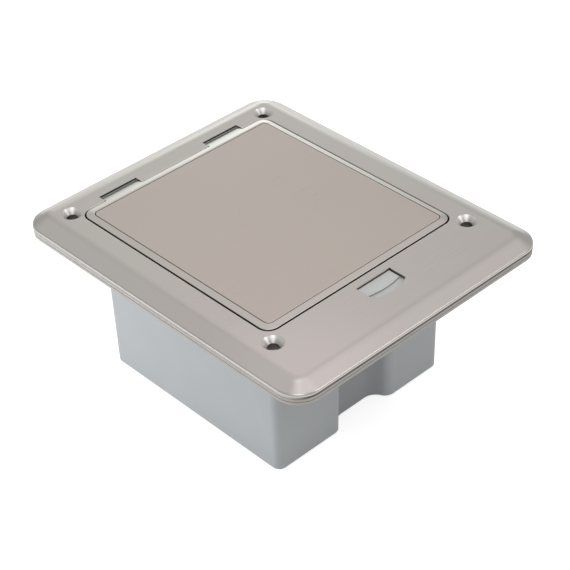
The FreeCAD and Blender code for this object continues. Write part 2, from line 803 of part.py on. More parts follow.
def earth_terminal():
    x, y = earth_place
    seat = frame_depth + 1
    washer = post(x, y, 4.2, seat, seat + 0.8).cut(post(x, y, 2.05, seat - 1, seat + 2))
    head = post(x, y, 3.6, seat + 0.8, seat + 3.4)
    slot = block(x - 4, x + 4, y - 0.4, y + 0.4, seat + 2.4, seat + 4)
    shank = post(x, y, 2.0, field_thickness - 0.6, seat + 0.9)
    return [washer, one([head, shank]).cut(slot)]


def socket_plate():
    inset = box_wall + plate_clearance + 0.15
    body = prism(box_outline(inset, plate_under), plate_thickness)
    cuts = [post(0, y, well_radius + well_wall + 0.3, plate_level - 1, plate_under + 1)
            for y in socket_centres]
    cuts += [post(x, y, box_screw[0] + 0.2, plate_level - 1, plate_under + 1) for x, y in pillar_places]
    for x, y in socket_screw_places():
        cuts.append(post(x, y, small_screw[0] + 0.1, plate_level - 1, plate_under + 1))
    return body.cut(cuts)


def plate_screws():
    return [screw_down(x, y, plate_level, box_screw, plate_thickness + 8) for x, y in pillar_places]


def socket_screw_places():
    x, y_off = face_width / 2 - 5.2, face_length / 2 - 4.6
    return [(sign * x, centre + sign * y_off) for centre in socket_centres for sign in (-1, 1)]


def screws_of(centre):
    return [(x, y) for x, y in socket_screw_places() if abs(y - centre) < socket_pitch / 2]


# Socket face: a flange on the plate and a round well with side guides, pin holes and earth slots
def socket_face(centre):
    half, reach = face_width / 2, face_length / 2
    flange = slab(-half, half, centre - reach, centre + reach, face_corner_radius, face_top, plate_level)
    flange = flange.makeFillet(0.7, edges_at(flange, face_top))
    cup = post(0, centre, well_radius + well_wall, face_top + 1, well_bottom)
    floor = well_bottom - well_floor
    well = post(0, centre, well_radius, face_top - 1, floor)
    mouth = Part.makeCone(well_radius, well_radius + 0.7, 0.7, Vector(0, centre, -face_top - 0.7))
    body = flange.fuse(cup).cut([well, mouth])
    guides = []
    deep, shallow = well_radius - guide_depth, well_radius + 0.4
    for x0, x1 in ((-shallow, -deep), (deep, shallow)):
        guides.append(block(x0, x1, centre - guide_width / 2, centre + guide_width / 2, face_top + 1.5,
                            floor + 0.1))
    body = body.fuse(guides)
    cuts = [post(sx * pin_hole_spacing / 2, centre, pin_hole_radius, floor - 1, well_bottom + 1)
            for sx in (-1, 1)]
    for sy in (-1, 1):
        y = centre + sy * (well_radius - 1.1)
        cuts.append(block(-earth_width / 2 - 0.3, earth_width / 2 + 0.3, y - 0.8, y + 0.8, floor - 1,
                          well_bottom + 1))
    for x, y in screws_of(centre):
        cuts.append(Part.makeCone(small_screw[0] + 0.1, 2.5, 1.15, Vector(x, y, -face_top - 1.15)))
        cuts.append(post(x, y, small_screw[0] + 0.1, face_top - 1, plate_level + 1))
    return body.cut(cuts).removeSplitter()


# Socket base: the cup behind the plate that holds the contacts, with wire holes in its floor
def socket_base(centre):
    room_x = well_radius + well_wall + 1.6
    room_y = well_radius + well_wall + base_clearance
    half = room_x + base_wall
    reach = (socket_pitch - base_between) / 2
    body = slab(-half, half, centre - reach, centre + reach, 2.0, plate_under, base_bottom)
    body = body.makeFillet(1.0, edges_at(body, base_bottom))
    body = body.cut(slab(-room_x, room_x, centre - room_y, centre + room_y, 1.0, plate_under - 1,
                         base_bottom - base_wall))
    posts = [post(x, y, base_post_radius, plate_under, base_bottom - 1) for x, y in screws_of(centre)]
    body = body.fuse(posts)
    cuts = [thread_hole(x, y, small_screw[0], plate_under - 1, plate_under + 9)
            for x, y in screws_of(centre)]
    for x in (-13.0, 0.0, 13.0):
        cuts.append(post(x, centre - 9, 1.9, base_bottom - 3, base_bottom + 1))
    return body.cut(cuts).removeSplitter()


# Earth bar under the well with two sprung arms that bulge into it
def earth_clip(centre):
    y_arm = well_radius - 1.1
    t = earth_strip
    bottom = -(well_bottom + 0.3 + t)
    top = -(face_top + 4.5)
    bar = block(-earth_width / 2, earth_width / 2, centre - y_arm - t / 2, centre + y_arm + t / 2,
                well_bottom + 0.3, well_bottom + 0.3 + t)
    parts = [bar]
    height = top - bottom
    for side in (-1, 1):
        stations = ((0.0, 0.0), (0.45, 0.0), (0.72, 2.2), (1.0, 0.6))
        outer = [(centre + side * (y_arm + t / 2 - lean), bottom + share * height)
                 for share, lean in stations]
        inner = [(y - side * t, z) for y, z in reversed(outer)]
        parts.append(polygon_x(outer + inner, -earth_width / 2, earth_width / 2))
    return one(parts)


# Line contacts: a split tube below each pin hole on a strip that ends in a terminal block
def line_contacts(centre):
    contacts = []
    top = well_bottom + 0.4
    for side in (-1, 1):
        x = side * pin_hole_spacing / 2
        bore = post(x, centre, 3.1 - contact_sheet, top - 1, top + 10)
        split = block(x - 0.5, x + 0.5, centre - 4, centre + 4, top - 1, top + 8)
        tube = post(x, centre, 3.1, top, top + 11).cut([bore, split])
        strip = block(x - 2.5, x + 2.5, centre - 12, centre, top + 10, top + 11)
        middle = x + side * 2
        terminal = block(middle - 3.5, middle + 3.5, centre - 14.5, centre - 7, top + 8, top + 15)
        thread = thread_hole(middle, centre - 11, 1.6, top + 7, top + 13)
        contacts.append(one([tube, strip, terminal]).cut(thread))
    return contacts


def terminal_screws(centre):
    screws = []
    top = well_bottom + 0.4
    for side in (-1, 1):
        x = side * (pin_hole_spacing / 2 + 2)
        head = post(x, centre - 11, 2.4, top + 6, top + 8)
        screws.append(one([head, post(x, centre - 11, 1.6, top + 7.9, top + 12)]))
    return screws


def socket_screws():
    screws = []
    for x, y in socket_screw_places():
        head = Part.makeCone(small_screw[0], 2.4, 1.15, Vector(x, y, -face_top - 1.15))
        shank = post(x, y, small_screw[0], face_top + 1.1, plate_under + 8)
        screws.append(one([head, shank]))
    return screws


def build():
    save("frame_plate", frame_plate())
    save("frame_gasket", frame_gasket())
    save("back_box", back_box())
    save("box_screws", Part.makeCompound(box_screws()))
    save("earth_terminal", Part.makeCompound(earth_terminal()))
    save("lid_seal", lid_seal())
    save("lid_tray", lid_tray())
    save("lid_insert", lid_insert())
    save("lid_strike", lid_strike())
    save("strike_screws", Part.makeCompound(strike_screws()))
    for name, centre in (("left", -knuckle_centre_x), ("right", knuckle_centre_x)):
        save("hinge_pin_" + name, hinge_pin(centre))
        save("hinge_retainer_" + name, hinge_retainer(centre))
    save("retainer_screws", Part.makeCompound(retainer_screws()))
    save("latch_button", latch_button())
    save("latch_bolt", latch_bolt())
    save("latch_rivets", Part.makeCompound(latch_rivets()))
    save("latch_housing", latch_housing())
    save("latch_screws", Part.makeCompound(latch_screws()))
    save("latch_spring", latch_spring())
    save("socket_plate", socket_plate())
    save("plate_screws", Part.makeCompound(plate_screws()))
    save("socket_screws", Part.makeCompound(socket_screws()))
    for name, centre in zip(("front", "back"), socket_centres):
        save("socket_face_" + name, socket_face(centre))
        save("socket_base_" + name, socket_base(centre))
        save("earth_clip_" + name, earth_clip(centre))
        save("line_contacts_" + name, Part.makeCompound(line_contacts(centre)))
        save("terminal_screws_" + name, Part.makeCompound(terminal_screws(centre)))


build()
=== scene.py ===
import math

import bmesh
import bpy
import numpy as np
from mathutils import Matrix, Vector


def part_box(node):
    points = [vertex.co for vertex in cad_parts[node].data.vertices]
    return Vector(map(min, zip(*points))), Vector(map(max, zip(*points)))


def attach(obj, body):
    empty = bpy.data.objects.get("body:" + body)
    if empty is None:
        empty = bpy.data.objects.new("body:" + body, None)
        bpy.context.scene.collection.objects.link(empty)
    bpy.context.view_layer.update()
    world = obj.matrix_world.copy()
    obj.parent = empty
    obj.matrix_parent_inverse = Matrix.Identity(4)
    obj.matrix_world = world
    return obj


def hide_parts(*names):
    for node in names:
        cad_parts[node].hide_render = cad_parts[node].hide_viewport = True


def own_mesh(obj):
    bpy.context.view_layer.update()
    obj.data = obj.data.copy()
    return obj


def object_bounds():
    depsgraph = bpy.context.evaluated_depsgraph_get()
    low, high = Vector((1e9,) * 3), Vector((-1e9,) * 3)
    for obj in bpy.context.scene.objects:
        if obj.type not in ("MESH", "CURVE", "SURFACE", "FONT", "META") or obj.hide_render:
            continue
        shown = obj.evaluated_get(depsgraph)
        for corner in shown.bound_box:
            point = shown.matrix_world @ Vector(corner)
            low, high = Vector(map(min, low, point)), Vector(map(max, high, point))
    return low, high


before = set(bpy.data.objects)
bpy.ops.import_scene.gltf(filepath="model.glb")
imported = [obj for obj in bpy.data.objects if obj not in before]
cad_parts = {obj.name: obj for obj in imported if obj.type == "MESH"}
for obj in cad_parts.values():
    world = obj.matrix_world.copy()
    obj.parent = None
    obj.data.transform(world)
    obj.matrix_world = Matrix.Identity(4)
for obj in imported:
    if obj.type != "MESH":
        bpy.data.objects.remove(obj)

scene = bpy.context.scene
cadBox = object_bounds()
mm = 0.001
print("frame loaded:", len(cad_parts), "nodes")


# Camera, from the angles and place that fit the photograph's edges
cameraView = {"azimuth": -42.663, "elevation": 37.429, "roll": -2.037, "lens": 106.752, "sensor": 36.0,
              "place": (-0.3776, -0.4187, 0.40131), "near": 0.02, "far": 20.0}


def makeCamera(v):
    az, el, roll = (math.radians(v[k]) for k in ("azimuth", "elevation", "roll"))
    back = np.array([math.sin(az) * math.cos(el), -math.cos(az) * math.cos(el), math.sin(el)])
    level = np.array([math.cos(az), math.sin(az), 0.0])
    lift = np.cross(back, level)
    right = math.cos(roll) * level + math.sin(roll) * lift
    up = math.cos(roll) * lift - math.sin(roll) * level
    cam = bpy.data.cameras.new("camera")
    cam.lens, cam.sensor_width = v["lens"], v["sensor"]
    cam.clip_start, cam.clip_end = v["near"], v["far"]
    obj = bpy.data.objects.new("camera", cam)
    turn = Matrix((right, up, back)).transposed().to_4x4()
    obj.matrix_world = Matrix.Translation(v["place"]) @ turn
    scene.collection.objects.link(obj)
    scene.camera = obj


makeCamera(cameraView)
scene.view_settings.view_transform = "Standard"
print("camera set")


# Node helpers
def addNode(tree, kind, inputs=None, **props):
    node = tree.nodes.new(kind)
    for key, value in props.items():
        setattr(node, key, value)
    for key, value in (inputs or {}).items():
        if isinstance(value, bpy.types.NodeSocket):
            tree.links.new(value, node.inputs[key])
        else:
            node.inputs[key].default_value = value
    return node


def newGroup(name, takes, gives):
    tree = bpy.data.node_groups.new(name, "ShaderNodeTree")
    for label, kind, value in takes:
        tree.interface.new_socket(label, in_out="INPUT", socket_type=kind).default_value = value
    for label, kind in gives:
        tree.interface.new_socket(label, in_out="OUTPUT", socket_type=kind)
    return tree, tree.nodes.new("NodeGroupInput").outputs, tree.nodes.new("NodeGroupOutput").inputs


def useGroup(tree, group, **inputs):
    node = tree.nodes.new("ShaderNodeGroup")
    node.node_tree = group
    for key, value in inputs.items():
        label = key[0].upper() + key[1:]
        if isinstance(value, bpy.types.NodeSocket):
            tree.links.new(value, node.inputs[label])
        else:
            node.inputs[label].default_value = value
    return node.outputs


def maths(tree, operation, a, b=0.0, c=0.0, clamp=False):
    return addNode(tree, "ShaderNodeMath", {0: a, 1: b, 2: c}, operation=operation, use_clamp=clamp).outputs[0]


def times(tree, *factors):
    product = factors[0]
    for factor in factors[1:]:
        product = maths(tree, "MULTIPLY", product, factor)
    return product


def blendColor(tree, factor, a, b):
    return addNode(tree, "ShaderNodeMix", {0: factor, 6: a, 7: b}, data_type="RGBA").outputs[2]


def blendValue(tree, factor, a, b):
    return addNode(tree, "ShaderNodeMix", {0: factor, 2: a, 3: b}).outputs[0]


def remap(tree, value, low, high, toLow=0.0, toHigh=1.0, smooth=False):
    kind = "SMOOTHSTEP" if smooth else "LINEAR"
    return addNode(tree, "ShaderNodeMapRange", {0: value, 1: low, 2: high, 3: toLow, 4: toHigh},
                   interpolation_type=kind).outputs[0]


def axesOf(tree, place):
    return addNode(tree, "ShaderNodeSeparateXYZ", {0: place}).outputs


def paint(r, g, b):
    return (r, g, b, 1.0)


aFloat, aVector = "NodeSocketFloat", "NodeSocketVector"


# Hairlines along X: noise stretched along the brushing, in a fine and a broad layer
hairNoise = {"detail": 3.0, "roughness": 0.6, "broadScale": 0.21, "broadDetail": 2.0, "broadShare": 0.2,
             "toneFrom": (0.3, 0.7)}


def makeBrushing(v):
    tree, takes, gives = newGroup(
        "hairlines", [("Place", aVector, (0, 0, 0)), ("Fine", aFloat, 5200.0), ("Long", aFloat, 60.0)],
        [("Tone", aFloat), ("Height", aFloat)])
    stretch = addNode(tree, "ShaderNodeCombineXYZ", {0: takes["Long"], 1: takes["Fine"], 2: takes["Fine"]})
    lines = addNode(tree, "ShaderNodeVectorMath", {0: takes["Place"], 1: stretch.outputs[0]},
                    operation="MULTIPLY").outputs[0]
    wide = addNode(tree, "ShaderNodeVectorMath", {0: lines, "Scale": v["broadScale"]},
                   operation="SCALE").outputs[0]
    fine = addNode(tree, "ShaderNodeTexNoise", {"Vector": lines, "Scale": 1.0, "Detail": v["detail"],
                                                "Roughness": v["roughness"]}).outputs["Fac"]
    broad = addNode(tree, "ShaderNodeTexNoise", {"Vector": wide, "Scale": 1.0,
                                                 "Detail": v["broadDetail"]}).outputs["Fac"]
    both = maths(tree, "MULTIPLY_ADD", broad, v["broadShare"], times(tree, fine, 1.0 - v["broadShare"]))
    tree.links.new(remap(tree, both, *v["toneFrom"]), gives["Tone"])
    tree.links.new(both, gives["Height"])
    return tree


# Slow clouding of a handled surface
cloudNoise = {"detail": 4.0, "roughness": 0.55, "distortion": 0.6, "toneFrom": (0.32, 0.68)}


def makeClouding(v):
    tree, takes, gives = newGroup("clouding", [("Place", aVector, (0, 0, 0)), ("Size", aFloat, 30.0)],
                                  [("Tone", aFloat)])
    noise = addNode(tree, "ShaderNodeTexNoise",
                    {"Vector": takes["Place"], "Scale": takes["Size"], "Detail": v["detail"],
                     "Roughness": v["roughness"], "Distortion": v["distortion"]})
    tree.links.new(remap(tree, noise.outputs["Fac"], *v["toneFrom"], smooth=True), gives["Tone"])
    return tree


# Fine spark-eroded grain of a moulded face, with faint flow marks
grainNoise = {"detail": 2.0, "flowScale": 24.0, "flowDetail": 3.0, "flowDistortion": 1.2, "flowShare": 0.5,
              "toneFrom": (0.3, 0.7)}


def makeMouldGrain(v):
    tree, takes, gives = newGroup("mouldGrain", [("Place", aVector, (0, 0, 0)), ("Grain", aFloat, 2600.0)],
                                  [("Tone", aFloat), ("Height", aFloat)])
    grain = addNode(tree, "ShaderNodeTexNoise", {"Vector": takes["Place"], "Scale": takes["Grain"],
                                                 "Detail": v["detail"]}).outputs["Fac"]
    flow = addNode(tree, "ShaderNodeTexNoise",
                   {"Vector": takes["Place"], "Scale": v["flowScale"], "Detail": v["flowDetail"],
                    "Distortion": v["flowDistortion"]}).outputs["Fac"]
    mixed = maths(tree, "MULTIPLY_ADD", flow, v["flowShare"], times(tree, grain, 1.0 - v["flowShare"]))
    tree.links.new(remap(tree, mixed, *v["toneFrom"]), gives["Tone"])
    tree.links.new(grain, gives["Height"])
    return tree


# One inside a rectangle seen from above and zero outside it, with rounded corners and a soft border
def makeInside():
    tree, takes, gives = newGroup(
        "insideRectangle",
        [("Place", aVector, (0, 0, 0)), ("HalfX", aFloat, 0.05), ("MidY", aFloat, 0.0), ("HalfY", aFloat, 0.05),
         ("Round", aFloat, 0.0), ("Soft", aFloat, 0.0001)],
        [("Mask", aFloat)])
    axes = axesOf(tree, takes["Place"])
    fromMiddle = maths(tree, "ABSOLUTE", maths(tree, "SUBTRACT", axes["Y"], takes["MidY"]))
    farX = maths(tree, "SUBTRACT", maths(tree, "ABSOLUTE", axes["X"]), takes["HalfX"])
    farY = maths(tree, "SUBTRACT", fromMiddle, takes["HalfY"])
    pastX = maths(tree, "MAXIMUM", maths(tree, "ADD", farX, takes["Round"]), 0.0)
    pastY = maths(tree, "MAXIMUM", maths(tree, "ADD", farY, takes["Round"]), 0.0)
    reach = maths(tree, "SQRT", maths(tree, "MULTIPLY_ADD", pastX, pastX, times(tree, pastY, pastY)))
    out = maths(tree, "DIVIDE", maths(tree, "SUBTRACT", reach, takes["Round"]), takes["Soft"])
    tree.links.new(maths(tree, "SUBTRACT", 1.0, out, clamp=True), gives["Mask"])
    return tree


# Distance from the nearest of four posts that stand on the corners of a rectangle
def makeCornerDistance():
    tree, takes, gives = newGroup(
        "cornerDistance", [("Place", aVector, (0, 0, 0)), ("HalfX", aFloat, 0.054), ("HalfY", aFloat, 0.06)],
        [("Distance", aFloat)])
    axes = axesOf(tree, takes["Place"])
    farX = maths(tree, "SUBTRACT", maths(tree, "ABSOLUTE", axes["X"]), takes["HalfX"])
    farY = maths(tree, "SUBTRACT", maths(tree, "ABSOLUTE", axes["Y"]), takes["HalfY"])
    both = maths(tree, "MULTIPLY_ADD", farX, farX, times(tree, farY, farY))
    tree.links.new(maths(tree, "SQRT", both), gives["Distance"])
    return tree


brushing, clouding, mouldGrain = makeBrushing(hairNoise), makeClouding(cloudNoise), makeMouldGrain(grainNoise)
insideRectangle, cornerDistance = makeInside(), makeCornerDistance()


# Masks. Their lengths are in millimetres, and heights are above the frame's underside, with its flat top
# face at 5. A rectangle is its half width, the y of its middle and its half length. A "top" is the height
# up to which a mask is full and how much higher it has faded out. Any other pair runs from none to full.
def ramp(tree, value, low, high, toLow=0.0, toHigh=1.0, smooth=False):
    return remap(tree, value, low * mm, high * mm, toLow, toHigh, smooth)


def below(tree, height, level, fade):
    return ramp(tree, height, level + fade, level, smooth=True)


def within(tree, place, rectangle, soft, corner=0.0):
    halfX, midY, halfY = (size * mm for size in rectangle)
    return useGroup(tree, insideRectangle, place=place, halfX=halfX, midY=midY, halfY=halfY,
                    round=corner * mm, soft=soft * mm)["Mask"]


# As-cast faces of the frame, darkened partly as painted shade: the walls of its opening, where shade falls in
# the gap round the lid, its underside, and its lower edge, a painted dark reflection that is weaker on the
# left. The fixing holes are left out.
frameAreas = {"opening": (57.0, -9.7, 67.5), "wallTop": (4.38, 0.3), "underside": (63.6, -6.7, 76.1),
              "undersideTop": (2.04, 0.02), "border": 0.1, "holes": (4.55, 4.65), "edgeTop": (0.65, 0.55),
              "edgeLeft": (-68.5, -63.0), "edgeLeftShare": 0.3}


def frameCastAndShade(tree, place):
    v = frameAreas
    axes = axesOf(tree, place)
    inner = within(tree, place, v["underside"], v["border"])
    hole = useGroup(tree, cornerDistance, place=place)["Distance"]
    walls = times(tree, within(tree, place, v["opening"], v["border"]), below(tree, axes["Z"], *v["wallTop"]))
    under = times(tree, inner, below(tree, axes["Z"], *v["undersideTop"]))
    inside = times(tree, ramp(tree, hole, *v["holes"]), maths(tree, "MAXIMUM", walls, under))
    edge = times(tree, maths(tree, "SUBTRACT", 1.0, inner), below(tree, axes["Z"], *v["edgeTop"]),
                 ramp(tree, axes["X"], *v["edgeLeft"], v["edgeLeftShare"], 1.0))
    return maths(tree, "MAXIMUM", inside, edge)


# As-cast faces of the lid tray, darkened partly as painted shade in the gaps: its sides and underside, and the
# joint round the insert
lidAreas = {"joint": (48.73, 0.65, 52.48), "jointCorner": 2.43, "jointBorder": 0.02, "jointTop": (5.45, 0.1),
            "sideTop": (4.25, 0.3)}


def lidCastAndShade(tree, place):
    v = lidAreas
    height = axesOf(tree, place)["Z"]
    rim = within(tree, place, v["joint"], v["jointBorder"], v["jointCorner"])
    joint = times(tree, rim, below(tree, height, *v["jointTop"]))
    return maths(tree, "MAXIMUM", joint, below(tree, height, *v["sideTop"]))


# As-cast faces of the insert, darkened partly as painted shade in the joint round it: its sides and underside
insertArea = {"sideTop": (5.12, 0.12)}


def insertCastAndShade(tree, place):
    return below(tree, axesOf(tree, place)["Z"], *insertArea["sideTop"])


# Touches. Each changes a finish's colour and roughness over one area, and gives back both.
# As-cast faces, dull and gritty, and dark partly as painted shade in gaps and joints
def castAndShadedFaces(tree, place, color, rough, v):
    castAndShade = v["castAndShadeMask"](tree, place)
    grit = useGroup(tree, mouldGrain, place=place, grain=v["castGrain"])
    castAndShadeColor = blendColor(tree, grit["Tone"], v["castAndShadeDark"], v["castAndShadeLight"])
    return blendColor(tree, castAndShade, color, castAndShadeColor), blendValue(tree, castAndShade, rough, v["castRough"])


# Fixing holes: a turned cone, pale partly as bright turned metal and partly as a painted highlight, with
# painted shade darkening it downwards, over a bore painted dark as shade
holeArea = {"cone": (4.6, 4.5), "coneTop": (4.92, 0.05), "deepening": (4.5, 2.8), "bore": (2.4, 2.3),
            "boreTop": (2.78, 0.06)}


def fixingHoles(tree, place, color, rough, v):
    a = holeArea
    height = axesOf(tree, place)["Z"]
    hole = useGroup(tree, cornerDistance, place=place)["Distance"]
    cone = times(tree, ramp(tree, hole, *a["cone"]), below(tree, height, *a["coneTop"]))
    bore = times(tree, ramp(tree, hole, *a["bore"]), below(tree, height, *a["boreTop"]))
    coneColor = blendColor(tree, ramp(tree, height, *a["deepening"]), v["coneColor"], v["coneShadeColor"])
    color = blendColor(tree, bore, blendColor(tree, cone, color, coneColor), v["boreShadeColor"])
    return color, blendValue(tree, bore, blendValue(tree, cone, rough, v["coneRough"]), v["boreRough"])


# Painted sheen: a lighter patch on the frame round its front corner
cornerSheenArea = {"middle": (-56.0, -78.0, 5.0), "reach": (48.0, 6.0), "strength": 0.7}


def paintedCornerSheen(tree, place, color, rough, v):
    a = cornerSheenArea
    middle = tuple(size * mm for size in a["middle"])
    far = addNode(tree, "ShaderNodeVectorMath", {0: place, 1: middle}, operation="DISTANCE").outputs["Value"]
    sheen = ramp(tree, far, *a["reach"], 0.0, a["strength"], smooth=True)
    return blendColor(tree, sheen, color, v["cornerSheenColor"]), rough


# Painted highlight: a lighter line along the frame's rolled edge on the latch side
edgeHighlightArea = {"top": (1.75, 0.3), "foot": (0.75, 0.95), "latchSide": (-80.0, -84.0)}


def paintedEdgeHighlight(tree, place, color, rough, v):
    a = edgeHighlightArea
    axes = axesOf(tree, place)
    edge = times(tree, below(tree, axes["Z"], *a["top"]), ramp(tree, axes["Z"], *a["foot"]),
                 ramp(tree, axes["Y"], *a["latchSide"]))
    return blendColor(tree, edge, color, v["edgeHighlightColor"]), blendValue(tree, edge, rough, v["edgeRough"])


# Far walls of the two hinge slots: painted light, a pale non-metal colour in place of bare metal that lightens
# their shade, with a painted shadow band at the top
slotArea = {"middle": 28.8, "ends": (10.15, 10.05), "front": (61.05, 61.15), "back": (61.3, 61.25),
            "top": (4.98, 0.015), "shadowBand": (4.05, 4.3)}


def paintedSlotWalls(tree, place, color, rough, v):
    a = slotArea
    axes = axesOf(tree, place)
    fromMiddle = maths(tree, "SUBTRACT", maths(tree, "ABSOLUTE", axes["X"]), a["middle"] * mm)
    walls = times(tree, ramp(tree, maths(tree, "ABSOLUTE", fromMiddle), *a["ends"]),
                  ramp(tree, axes["Y"], *a["front"]), ramp(tree, axes["Y"], *a["back"]),
                  below(tree, axes["Z"], *a["top"]))
    shadowBand = ramp(tree, axes["Z"], *a["shadowBand"], smooth=True)
    metallic = tree.nodes["Principled BSDF"].inputs["Metallic"]
    tree.links.new(maths(tree, "SUBTRACT", 1.0, walls), metallic)
    return blendColor(tree, walls, color, blendColor(tree, shadowBand, v["slotPaintedLight"], v["slotPaintedShadow"])), rough


# Painted shade on the hinge knuckles, darker from the lid's rim down to the slots' far wall
knuckleArea = {"slope": (56.9, 60.4), "strength": 0.9}


def knuckleShade(tree, place, color, rough, v):
    slope = ramp(tree, axesOf(tree, place)["Y"], *knuckleArea["slope"])
    return blendColor(tree, times(tree, slope, knuckleArea["strength"]), color, v["knuckleShadeColor"]), rough


# Painted shade in the recess in the back box's front wall, darker inwards
recessArea = {"middle": 2.0, "flanks": (18.0, 9.0), "depth": (-54.0, -48.5), "wallBehind": (-43.0, -44.0),
              "strength": 0.27}


def recessShade(tree, place, color, rough, v):
    a = recessArea
    axes = axesOf(tree, place)
    aside = maths(tree, "ABSOLUTE", maths(tree, "SUBTRACT", axes["X"], a["middle"] * mm))
    shade = times(tree, ramp(tree, aside, *a["flanks"], smooth=True),
                  ramp(tree, axes["Y"], *a["depth"], smooth=True), ramp(tree, axes["Y"], *a["wallBehind"]))
    return blendColor(tree, times(tree, shade, a["strength"]), color, v["recessShadeColor"]), rough


# Band of shade low on the finger pad's edge
padArea = {"top": (3.86, 0.08), "foot": (3.52, 3.57), "strength": 0.75}


def padShade(tree, place, color, rough, v):
    height = axesOf(tree, place)["Z"]
    band = times(tree, below(tree, height, *padArea["top"]), ramp(tree, height, *padArea["foot"]))
    return blendColor(tree, times(tree, band, padArea["strength"]), color, v["padDark"]), rough


def newMaterial(name):
    material = bpy.data.materials.new(name)
    material.use_nodes = True
    tree = material.node_tree
    return material, tree, tree.nodes["Principled BSDF"]


# Adds a finish's touches, then joins its colour, roughness and bump to the shader
def finishShader(tree, shader, place, color, rough, height, v):
    for touch in v.get("touches", []):
        color, rough = touch(tree, place, color, rough, v)
    bump = addNode(tree, "ShaderNodeBump",
                   {"Height": height, "Strength": v["bump"], "Distance": v["bumpDepth"] * mm})
    tree.links.new(color, shader.inputs["Base Color"])
    tree.links.new(rough, shader.inputs["Roughness"])
    tree.links.new(bump.outputs["Normal"], shader.inputs["Normal"])


# Satin metal: hairlines under slow clouding
def brushedMetal(name, v):
    material, tree, shader = newMaterial(name)
    shader.inputs["Metallic"].default_value = 1.0
    place = addNode(tree, "ShaderNodeTexCoord").outputs["Object"]
    lines = useGroup(tree, brushing, place=place, fine=v["fine"], long=v["long"])
    cloud = useGroup(tree, clouding, place=place, size=v["cloudSize"])["Tone"]
    color = blendColor(tree, lines["Tone"], v["dark"], v["light"])
    color = blendColor(tree, times(tree, cloud, v["cloud"]), color, v["cloudColor"])
    rough = maths(tree, "MULTIPLY_ADD", lines["Tone"], v["roughSpread"], v["rough"])
    rough = maths(tree, "MULTIPLY_ADD", cloud, v["roughSpread"], rough)
    finishShader(tree, shader, place, color, rough, lines["Height"], v)
    return material


# Moulded plastic or rubber: spark-eroded grain under slow clouding
def mouldedPlastic(name, v):
    material, tree, shader = newMaterial(name)
    shader.inputs["IOR"].default_value = v["ior"]
    place = addNode(tree, "ShaderNodeTexCoord").outputs["Object"]
    grain = useGroup(tree, mouldGrain, place=place, grain=v["grain"])
    cloud = useGroup(tree, clouding, place=place, size=v["cloudSize"])["Tone"]
    color = blendColor(tree, grain["Tone"], v["dark"], v["light"])
    color = blendColor(tree, times(tree, cloud, v["cloud"]), color, v["dark"])
    rough = maths(tree, "MULTIPLY_ADD", grain["Tone"], v["roughSpread"], v["rough"])
    finishShader(tree, shader, place, color, rough, grain["Height"], v)
    return material


# Finishes. "fine" and "long" are hairlines per metre across and along the brushing, "grain" is grains per
# metre, "cloudSize" is clouds per metre, "cloud" is how strong they are, and "bumpDepth" is in millimetres.
satin = {"rough": 0.27, "roughSpread": 0.02, "fine": 6500.0, "long": 60.0, "bump": 0.02, "bumpDepth": 0.02,
         "cloud": 0.6, "cloudSize": 22.0, "castRough": 0.62, "castGrain": 1500.0,
         # the cast colours are partly painted shade in gaps and joints, and a painted dark reflection on the
         # frame's lower edge
         "castAndShadeDark": paint(0.13, 0.122, 0.118), "castAndShadeLight": paint(0.19, 0.18, 0.175)}
frameFinish = {**satin, "dark": paint(0.555, 0.52, 0.5), "light": paint(0.59, 0.556, 0.536),
               "cloudColor": paint(0.56, 0.555, 0.52), "castAndShadeMask": frameCastAndShade,
               "touches": [paintedCornerSheen, fixingHoles, castAndShadedFaces, paintedEdgeHighlight, paintedSlotWalls],
               # painted sheen near the frame's front corner
               "cornerSheenColor": paint(0.66, 0.605, 0.59),
               # the cone's colour is partly a painted highlight with painted shade lower down, and the bore's
               # colour is painted shade
               "coneColor": paint(0.8, 0.78, 0.77), "coneShadeColor": paint(0.44, 0.42, 0.41), "coneRough": 0.34,
               "boreShadeColor": paint(0.13, 0.12, 0.115), "boreRough": 0.7,
               # painted highlight along the rolled edge
               "edgeHighlightColor": paint(0.62, 0.585, 0.57), "edgeRough": 0.27,
               # painted light on the slot walls, with a painted shadow band at their top
               "slotPaintedLight": paint(0.7, 0.7, 0.685), "slotPaintedShadow": paint(0.03, 0.03, 0.03)}
lidFinish = {**satin, "dark": paint(0.62, 0.585, 0.555), "light": paint(0.66, 0.625, 0.595),
             "cloudColor": paint(0.64, 0.61, 0.57), "castAndShadeMask": lidCastAndShade,
             # painted shade on the knuckles
             "touches": [knuckleShade, castAndShadedFaces], "knuckleShadeColor": paint(0.36, 0.36, 0.355)}
insertFinish = {**satin, "dark": paint(0.545, 0.485, 0.45), "light": paint(0.585, 0.525, 0.49),
                "cloudColor": paint(0.56, 0.515, 0.47), "castAndShadeMask": insertCastAndShade, "touches": [castAndShadedFaces]}
zincFinish = {"dark": paint(0.55, 0.56, 0.57), "light": paint(0.72, 0.73, 0.74),
              "cloudColor": paint(0.6, 0.62, 0.68), "cloud": 0.5, "cloudSize": 140.0, "rough": 0.24,
              "roughSpread": 0.08, "fine": 3000.0, "long": 1500.0, "bump": 0.1, "bumpDepth": 0.02}
wireFinish = {**zincFinish, "dark": paint(0.42, 0.42, 0.43), "light": paint(0.58, 0.58, 0.6), "rough": 0.2}
clipFinish = {**zincFinish, "dark": paint(0.6, 0.57, 0.52), "light": paint(0.74, 0.7, 0.64), "rough": 0.18}
brassFinish = {**zincFinish, "dark": paint(0.6, 0.44, 0.18), "light": paint(0.78, 0.6, 0.28),
               "cloudColor": paint(0.55, 0.4, 0.2), "rough": 0.18}
moulded = {"ior": 1.5, "rough": 0.5, "roughSpread": 0.08, "grain": 2600.0, "bump": 0.2, "bumpDepth": 0.03,
           "cloud": 0.25, "cloudSize": 18.0}
